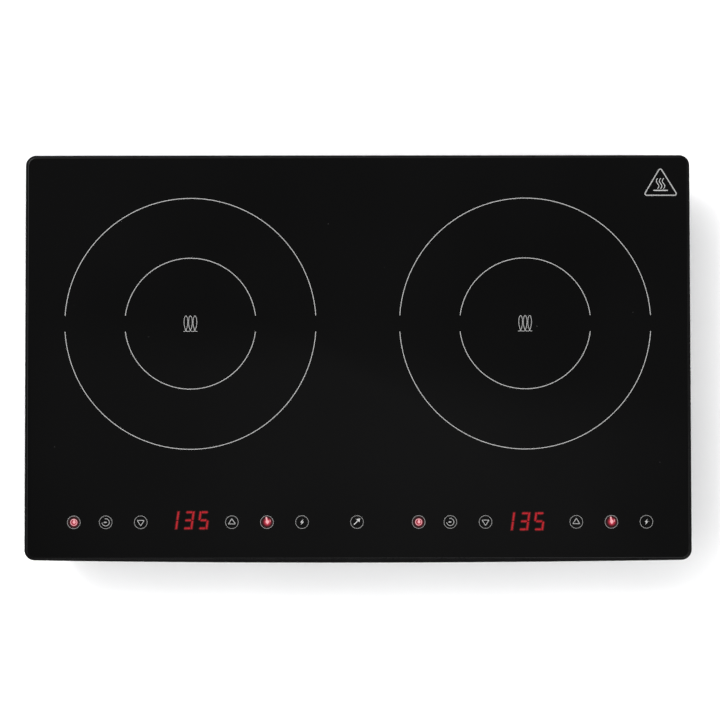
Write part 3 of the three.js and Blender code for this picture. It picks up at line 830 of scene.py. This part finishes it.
def make_screws():
    """Self-tapping screws with a domed head, a cross recess and a thread of plain rings."""
    low, high = box_mm("housing_screw_1")
    r, bottom, seat = (high.x - low.x) / 2, low.z, 11.5
    core, crest, pitch, point = 1.2, 1.5, 0.9, 1.6
    profile = [
        (0, bottom), (1.2, bottom), (r - 1.1, bottom + 0.12), (r - 0.45, bottom + 0.45),
        (r - 0.1, bottom + 0.95), (r, bottom + 1.4), (r, seat - 0.15), (r - 0.15, seat), (crest, seat),
    ]
    z = seat
    while z < high.z - 3:
        profile += [(core, z + 0.35), (crest, z + 0.7)]
        z += pitch
    profile += [(core, high.z - point), (0, high.z)]
    cross = Shape()
    arm, half, taper, top = 1.9, 0.42, 0.55, bottom + 1.3
    for x, y in ((arm, half), (half, arm)):
        base = [(-x, -y), (x, -y), (x, y), (-x, y)]
        tip = [[u * taper if abs(u) > half else u for u in corner] for corner in base]
        depth = top - 0.02 * x  # the two arms end at slightly different levels
        cross.stack([(base, bottom - 0.5), (base, bottom), (tip, depth)])
    nodes = ["housing_screw_%d" % (i + 1) for i in range(2 * len(SCREWS))]
    shape = Shape().turned(profile, (0, 0), 40)
    twins("cross_{}", shape, "screw_steel", screw_places(), nodes, cross)


def make_gland():
    """A ribbed bushing through the back wall, open for the mains cord."""
    low, high = box_mm("cord_gland")
    bore, barrel, flange = 4, 6.5, (high.x - low.x) / 2
    inner_seat, outer_seat = 163.75, 183.75  # where its flanges rest on the block
    inside = [
        (bore + 0.4, low.y), (flange - 1.4, low.y), (flange - 1, low.y + 0.4), (flange - 1, inner_seat),
        (barrel, inner_seat),
    ]
    outside = [
        (barrel, outer_seat), (flange - 0.2, outer_seat), (flange, outer_seat + 0.2),
        (flange, outer_seat + 0.5), (flange - 0.5, outer_seat + 1.3), (flange - 1.4, high.y - 0.4),
        (flange - 2.6, high.y - 0.1), (flange - 3.2, high.y - 0.1), (flange - 3.5, high.y - 0.5),
        (flange - 3.9, high.y - 0.5), (flange - 4.2, high.y), (bore + 0.7, high.y),
    ]
    hole = [(bore + 0.2, high.y - 0.3), (bore, high.y - 0.8), (bore, low.y + 0.4)]
    shape = Shape().turned(inside + outside + hole, (0, GLAND_Z), 64, "Y")
    piece("cord_bushing", shape, "rubber", ["cord_gland"])


# ---- fans


def square_point(angle, half, r):
    """Point of a rounded square's outline in the direction of an angle."""
    c, s = math.cos(angle), math.sin(angle)
    reach = half / max(abs(c), abs(s))
    flat = half - r
    if min(abs(c), abs(s)) * reach <= flat:
        return (reach * c, reach * s)
    middle = Vector((math.copysign(flat, c), math.copysign(flat, s)))
    along = middle.dot(Vector((c, s)))
    return tuple(Vector((c, s)) * (along + math.sqrt(along * along - middle.length_squared + r * r)))


def make_fan_frame(side, x):
    """A square frame with a round duct and four curved struts that carry the motor's plate."""
    low, high = box_mm(side + "_fan_frame")
    half, duct, flare, steps = (high.x - low.x) / 2, 38, 1.1, 128
    turns = [2 * math.pi * (i + 0.5) / steps for i in range(steps)]
    wall = [square_point(a, half, 5) for a in turns]
    thin = [square_point(a, half - 0.4, 4.6) for a in turns]
    hole = [(duct * math.cos(a), duct * math.sin(a)) for a in turns]
    wide = [((duct + flare) * math.cos(a), (duct + flare) * math.sin(a)) for a in turns]
    levels = [
        (thin, low.z), (wall, low.z + 0.4), (wall, low.z + 4), (thin, low.z + 4.4), (thin, high.z - 4.4),
        (wall, high.z - 4), (wall, high.z - 0.4), (thin, high.z), (wide, high.z), (hole, high.z - 1.6),
        (hole, low.z + 1.6), (wide, low.z),
    ]
    centre = (x, FAN_Y)
    shape = Shape().stack([(moved(loop, centre), z) for loop, z in levels], closed=True)
    made = piece(side + "_fan_housing", shape, "fan_plastic", [side + "_fan_frame"])
    hub = [(0, 14.25), (13.4, 14.25), (14, 14.6), (14, 16.3), (13.8, 16.5), (0, 16.5)]
    struts = Shape().turned(hub, centre, 64)
    start, end, width, swirl = 13.2, duct + 0.7, 3.2, 0.012
    for i in range(4):
        path = []
        for k in range(9):
            r = start + (end - start) * k / 8
            angle = math.pi / 2 * i + math.pi / 4 + swirl * (r - 13)
            path.append((x + r * math.cos(angle), FAN_Y + r * math.sin(angle)))
        left, right = sides_of(path, width, False)
        struts.plate([*right, *reversed(left)], 14.5, 16.25)
    carve(made, struts, "UNION")
    holes = Shape()
    bore, inset, under, over = 2.1, 4.5, low.z - 1, high.z + 1
    for place in four(x, FAN_Y, half - inset, half - inset):
        holes.turned([(0, under), (bore, under), (bore, over), (0, over)], place, 24)
    carve(made, holes)


BLADES = 7
BLADE_ROOT, BLADE_TIP = 14.4, 35.2  # radii
BLADE_Z = 22.4  # level of the blades' middle


def blade_loops(start):
    """Sections of one curved and twisted blade, from inside the cup's wall to its tip. Each
    section lies on a cylinder about the axis, so that y is a length along its circle."""
    loops = []
    for k in range(9):
        share = k / 8
        r = BLADE_ROOT + (BLADE_TIP - BLADE_ROOT) * share
        pitch = 0.72 - 0.22 * share
        chord = 12 + 3.2 * share
        sweep = start + 0.20 * share * share
        upper, lower = [], []
        for j in range(11):
            u = -1 + 2 * j / 10
            thick = 0.75 * math.sqrt(max(1 - u * u, 0)) * (1.15 - 0.35 * share) + 0.12
            camber = 1.1 * (1 - u * u)
            along = u * chord / 2
            for side, surface in ((1, upper), (-1, lower)):
                lift = camber + side * thick / 2
                y = along * math.cos(pitch) - lift * math.sin(pitch)
                z = along * math.sin(pitch) + lift * math.cos(pitch)
                angle = sweep + y / r
                surface.append(Vector((r * math.cos(angle), r * math.sin(angle), BLADE_Z + z)))
        loops.append(upper + lower[::-1])
    return loops


def make_fan_rotor(side, x):
    """A cup over the motor, with blades around it. It is made on the axis and then placed."""
    cup, bore, hole = 15.5, 13.5, 1.6  # radii
    base, ceiling, top = 17.5, 26.5, 28.5  # levels
    profile = [
        (hole, ceiling), (bore - 0.5, ceiling), (bore, ceiling - 0.5), (bore, base), (cup, base),
        (cup, top - 1.2), (cup - 0.35, top - 0.4), (cup - 1.1, top), (9, top), (8.7, top - 0.3),
        (6, top - 0.3), (5.7, top), (hole, top),
    ]
    shape = Shape().turned(profile, (0, 0), 72)
    made = piece(side + "_fan_impeller", shape, "fan_plastic", [side + "_fan_rotor"], body=side + "_fan")
    blades = Shape()
    for i in range(BLADES):
        blades.loft(blade_loops(2 * math.pi * i / BLADES))
    carve(made, blades, "UNION")
    made.location = Vector((x, FAN_Y, 0)) * MM


# ---- printed markings

RING_RADII = (115, 60)
RING_GAP = 7.4  # half the height of the break in a ring, left and right
RING_LINE = 0.65
# The coil symbol is three turns of a helix: steps between turns, half their width and height,
# how far the whole sits below the middle, where it is cut flat, and its line.
COIL = {"pitch": 4.13, "swing": 2.65, "rise": 7.4, "drop": 0.3, "foot": 7.1, "line": 0.5}


def make_zone_marks(side, x):
    """The broken rings of one zone and its coil symbol. Every second half turn of the coil is
    printed a little lower, so that lines that cross don't share a surface."""
    centre = (x, ZONE.y)
    shape = Shape()
    for r in RING_RADII:
        gap = math.degrees(math.asin(RING_GAP / r))
        steps = round(r)
        for start in (gap, 180 + gap):
            stroke(shape, arc(r, start, start + 180 - 2 * gap, steps, centre), RING_LINE, round_ends=False)
    piece(side + "_zone_rings", shape, "marking_print")
    symbol = Shape()
    for loop in range(3):
        for half, levels in ((0, PRINT), (1, (PRINT[0], PRINT[1] - 0.01))):
            path = []
            for i in range(25):
                t = 2 * math.pi * loop + math.pi * (half + i / 24)
                u = COIL["pitch"] * (t / (2 * math.pi) - 1.5) + COIL["swing"] * math.sin(t)
                v = max(-COIL["rise"] * math.cos(t) - COIL["drop"], -COIL["foot"])
                path.append((x + u, ZONE.y + v))
            stroke(symbol, path, COIL["line"], levels)
    piece(side + "_coil_symbol", symbol, "symbol_print")


def make_hot_surface_mark():
    """A generic hot-surface pictogram: three rising waves over a plate, in a triangle."""
    x, low, half, high = 278.0, 149.45, 15.5, 175.0
    corners = [(x - half, low), (x + half, low), (x - 0.3, high)]
    triangle = Shape()
    stroke(triangle, soft_triangle(corners, 1.5), 1.02, closed=True)
    piece("hot_surface_triangle", triangle, "symbol_print")
    plate_y, wave_top, wave_height, swing, pitch = 153.95, 164.85, 9.25, 1.15, 2.76
    waves = Shape()
    stroke(waves, [(x - 6.3, plate_y), (x + 6.1, plate_y)], 0.95)
    for offset in spread(3, pitch):
        path = []
        for i in range(25):
            share = i / 24
            sway = swing * math.sin(2 * math.pi * share)
            path.append((x + offset - sway, wave_top - wave_height * share))
        stroke(waves, path, 0.62)
    piece("hot_surface_waves", waves, "bright_print")


# ---- touch keys and displays

KEY_Y = -149.5
KEY_R, KEY_LINE = 5.82, 0.42  # radius and line of the circle around each symbol


def key_outline(shape, x):
    outer, inner = (circle(KEY_R + side * KEY_LINE / 2, (x, KEY_Y)) for side in (1, -1))
    shape.band(outer, inner, *PRINT)


def timer_symbol(shape, x):
    """An open circle around a short bar."""
    stroke(shape, arc(3.3, 100, -172, 36, (x, KEY_Y)), 0.52)
    stroke(shape, [(x - 1.2, KEY_Y), (x + 0.4, KEY_Y)], 1.1)


def arrow_triangle(shape, x, way):
    """A triangle that points to the back when way is 1 and to the front when it is -1."""
    half, base, tip = 3.2, KEY_Y - 1.65 * way, KEY_Y + 3.2 * way
    corners = [(x - half, base), (x + half, base), (x, tip)]
    if way < 0:
        corners.reverse()
    stroke(shape, soft_triangle(corners, 0.2, 4), 0.58, closed=True)


def bolt_symbol(shape, x):
    points = [(1.0, 2.85), (-1.6, -0.35), (-0.2, -0.25), (-1.0, -2.85), (1.65, 0.45), (0.2, 0.35)]
    shape.plate(moved(points, (x, KEY_Y)), *PRINT)


def lock_symbol(shape, x):
    """A slanting arrow."""
    tip, left_wing, right_wing = Vector((2.95, 3.35)), Vector((-0.75, 2.65)), Vector((2.2, -0.15))
    neck, tail = Vector((0.85, 1.25)), Vector((-2.75, -2.35))
    across = Vector((-1, 1)).normalized() * 0.45
    points = [
        tail - across, neck - across, right_wing, tip, left_wing, neck + across, tail + across,
    ]
    shape.plate(moved(points, (x, KEY_Y)), *PRINT)


def power_symbol(shape, x):
    """A ring with a drop inside that reaches up to the ring."""
    shape.band(circle(3.15, (x, KEY_Y)), circle(2.55, (x, KEY_Y)), *GLYPH)
    drop = arc(1.3, 140, 400, 20, (x + 0.3, KEY_Y + 0.1))
    shape.plate([*drop, (x + 0.4, KEY_Y + 2.6), (x - 0.1, KEY_Y + 2.6)], *GLYPH)


def heat_symbol(shape, x):
    """A bulb with a stem that rises to a small head, and a mark to the right of it."""
    stem = [(x - 0.55, KEY_Y + 4.1), (x - 0.2, KEY_Y + 2.1)]
    bulb = arc(1.55, -60, 240, 24, (x + 0.35, KEY_Y + 0.4))
    stroke(shape, stem, 1.45, GLYPH)
    shape.plate([*bulb, (x + 0.2, KEY_Y - 1.9), (x + 0.7, KEY_Y - 1.9)], *GLYPH)
    stroke(shape, [(x + 2.9, KEY_Y + 2.1), (x + 2.9, KEY_Y + 0.3)], 0.5, GLYPH)


def lit_disc(name, x, finish):
    r = KEY_R - KEY_LINE / 2 - 0.15
    shape = Shape().plate(circle(r, (x, KEY_Y)), *LIGHT)
    piece(name, shape, finish, origin=(x, KEY_Y, GLASS_TOP))


KEYS = {
    "left": {"power": -259.4, "timer": -230.3, "down": -198.3, "up": -115.1, "heat": -83.1, "boost": -51.1},
    "right": {"power": 55.4, "timer": 84.3, "down": 116.4, "up": 199.3, "heat": 231.3, "boost": 263.3},
}
LOCK_X = -0.9


def make_keys():
    for side, keys in KEYS.items():
        for key, x in keys.items():
            outline, symbol = Shape(), Shape()
            key_outline(outline, x)
            piece(f"{side}_{key}_key", outline, "key_print")
            if key == "timer":
                timer_symbol(symbol, x)
            elif key in ("down", "up"):
                arrow_triangle(symbol, x, 1 if key == "up" else -1)
            elif key == "boost":
                bolt_symbol(symbol, x)
            if symbol.verts:
                finish = "bright_print" if key == "boost" else "symbol_print"
                piece(f"{side}_{key}_symbol", symbol, finish)
        for key, symbol in (("power", power_symbol), ("heat", heat_symbol)):
            lit_disc(f"{side}_{key}_glow", keys[key], key + "_light")
            glyph = Shape()
            symbol(glyph, keys[key])
            piece(f"{side}_{key}_symbol", glyph, "pale_light")
    outline = Shape()
    key_outline(outline, LOCK_X)
    piece("lock_key", outline, "key_print")
    arrow = Shape()
    lock_symbol(arrow, LOCK_X)
    piece("lock_arrow", arrow, "bright_print")


# Segments of a digit by their ends, on a grid 1 wide and 2 tall.
SEGMENTS = {
    "top": ((0, 2), (1, 2)), "upper_left": ((0, 1), (0, 2)), "upper_right": ((1, 1), (1, 2)),
    "middle": ((0, 1), (1, 1)), "lower_left": ((0, 0), (0, 1)), "lower_right": ((1, 0), (1, 1)),
    "bottom": ((0, 0), (1, 0)),
}
DIGITS = {
    "1": ("upper_right", "lower_right"),
    "3": ("top", "upper_right", "middle", "lower_right", "bottom"),
    "5": ("top", "upper_left", "middle", "lower_right", "bottom"),
}
# Width, half height, line, gap between bars, slant, and step from one digit to the next.
DIGIT = {"width": 7.5, "height": 7.32, "line": 1.45, "gap": 0.22, "slant": 0.14, "pitch": 13.85}
DISPLAYS = {"left": (-154.8, -147.75), "right": (151.6, -149.0)}  # middles of the lit digits
BAR_INSET = 0.7  # how much shorter a level bar is at each end
FLAT_END, BLUNT_END = 0.85, 0.7  # how far the ends of upright and level bars reach, in half lines
GLOW_REACH = 0.75  # how far the light spreads past a bar


def add_bar(shape, name, place, grown, levels):
    """One bar of a digit, in the digit's slanted frame, grown on all sides. Upright bars fill
    the digit's corners; level bars are shorter and have blunt points."""
    width, height = DIGIT["width"], DIGIT["height"]
    half = DIGIT["line"] / 2 + grown
    ends = [Vector(((u - 0.5) * width, (v - 1) * height)) for u, v in SEGMENTS[name]]
    along = (ends[1] - ends[0]).normalized()
    across = Vector((-along.y, along.x)) * half
    upright = abs(along.y) > 0.5
    outline = []
    for end, way, side in ((ends[0], along, -1), (ends[1], -along, 1)):
        if upright and abs(end.y) > 1:
            flat = end - way * half * FLAT_END
            outline += [flat - across * side, flat + across * side]
        else:
            tip = end + way * (DIGIT["gap"] + (0 if upright else BAR_INSET) - grown)
            shoulder = tip + way * half * BLUNT_END
            outline += [shoulder - across * side, tip, shoulder + across * side]
    slanted = [(p.x + DIGIT["slant"] * p.y, p.y) for p in outline]
    shape.plate(moved(slanted, place), *levels)


def make_displays():
    for side, (x, y) in DISPLAYS.items():
        for i, text in enumerate("135"):
            bars, glow = Shape(), Shape()
            place = (x + (i - 1) * DIGIT["pitch"], y)
            for name in DIGITS[text]:
                add_bar(bars, name, place, 0, LIGHT)
                add_bar(glow, name, place, GLOW_REACH, GLOW)
            piece(f"{side}_digit_{i + 1}", bars, "red_light")
            piece(f"{side}_digit_{i + 1}_glow", glow, "red_glow")


# ---- carried-over CAD nodes


def dress_cad_nodes():
    """Each CAD node that stays in view takes the material of its slot in the record."""
    slots = {row["node"]: row["material_slot"] for row in frame["record"]["subparts"]}
    for name, node in NODES.items():
        if not node.hide_render:
            node.data.materials.clear()
            node.data.materials.append(MATERIALS[slots[name]])


make_glass()
make_frame()
make_pillars()
make_housing()
make_feet()
make_screws()
make_gland()
for side_name, side_x in (("left", -ZONE.x), ("right", ZONE.x)):
    make_fan_frame(side_name, side_x)
    make_fan_rotor(side_name, side_x)
    make_zone_marks(side_name, side_x)
make_hot_surface_mark()
make_keys()
make_displays()
dress_cad_nodes()

# ---- light and floor


def make_floor():
    """Plain white paper."""
    f = Finish("floor_paper", IOR=1.45, Roughness=0.9)
    f.colour(f.ramp(f.noise(6, 3), (0.3, 0.86), (0.7, 0.89)))
    half = 6  # metres
    corners = [(x, y, 0) for x, y in four(0, 0, half, half)]
    mesh = bpy.data.meshes.new("floor")
    mesh.from_pydata(corners, [], [(0, 1, 2, 3)])
    mesh.materials.append(f.material)
    add_object("floor", mesh)


# Brightness of the surround by the sine of its height: the ceiling is dark.
SKY = [
    (0.0, 1.1), (0.3, 1.1), (0.5, 1.4), (0.7, 3.2), (0.79, 3.2), (0.9, 0.066), (0.985, 0.072), (1.0, 0.095),
]
FRONT_GLOW = 0.5  # how much brighter the ceiling is towards the front
SIDE_FALL = -0.56  # how the walls dim from left to right
DIAGONAL_FALL = -3.7  # and towards the back right and front left corners
WALL_LEAST = 0.05  # share of the brightness that is always left


def make_world():
    """A soft white surround with a dark ceiling, which is what the glass mirrors from above."""
    world = bpy.data.worlds.new("studio")
    world.use_nodes = True
    bpy.context.scene.world = world
    g = Graph(world.node_tree)
    split = g.node("ShaderNodeSeparateXYZ")
    g.link(g.node("ShaderNodeTexCoord").outputs["Generated"], split.inputs["Vector"])
    x, y, z = (split.outputs[axis] for axis in "XYZ")
    front = g.remap(y, (0.03, -0.03), 0, FRONT_GLOW)
    cap = g.remap(z, (0.96, 0.98), 0, 1)
    walls = g.math("MULTIPLY", g.remap(z, (0.25, 0.5), 0, 1), g.remap(z, (0.9, 0.95), 1, 0))
    fall = g.math("MULTIPLY", x, g.math("ADD", g.math("MULTIPLY", y, DIAGONAL_FALL), SIDE_FALL))
    strength = g.math("ADD", g.math("MULTIPLY", front, cap), g.math("MULTIPLY", fall, walls))
    background = world.node_tree.nodes["Background"]
    stops = [(height, (glow, glow, glow * 1.005)) for height, glow in SKY]
    g.link(g.ramp(z, *stops), background.inputs["Color"])
    g.link(g.math("MAXIMUM", g.math("ADD", strength, 1), WALL_LEAST), background.inputs["Strength"])


def make_light(name, place, size, watts):
    """A round lamp in metres that faces the object."""
    data = bpy.data.lights.new(name, "AREA")
    data.shape = "DISK"
    data.size = size
    data.energy = watts
    light = add_object(name, data)
    light.location = place
    light.rotation_mode = "QUATERNION"
    light.rotation_quaternion = (-Vector(place)).to_track_quat("-Z", "Y")


make_floor()
make_world()
make_light("key", (-3.77, 3.21, 4.95), 2.95, 138)
bpy.context.scene.view_settings.view_transform = "Standard"
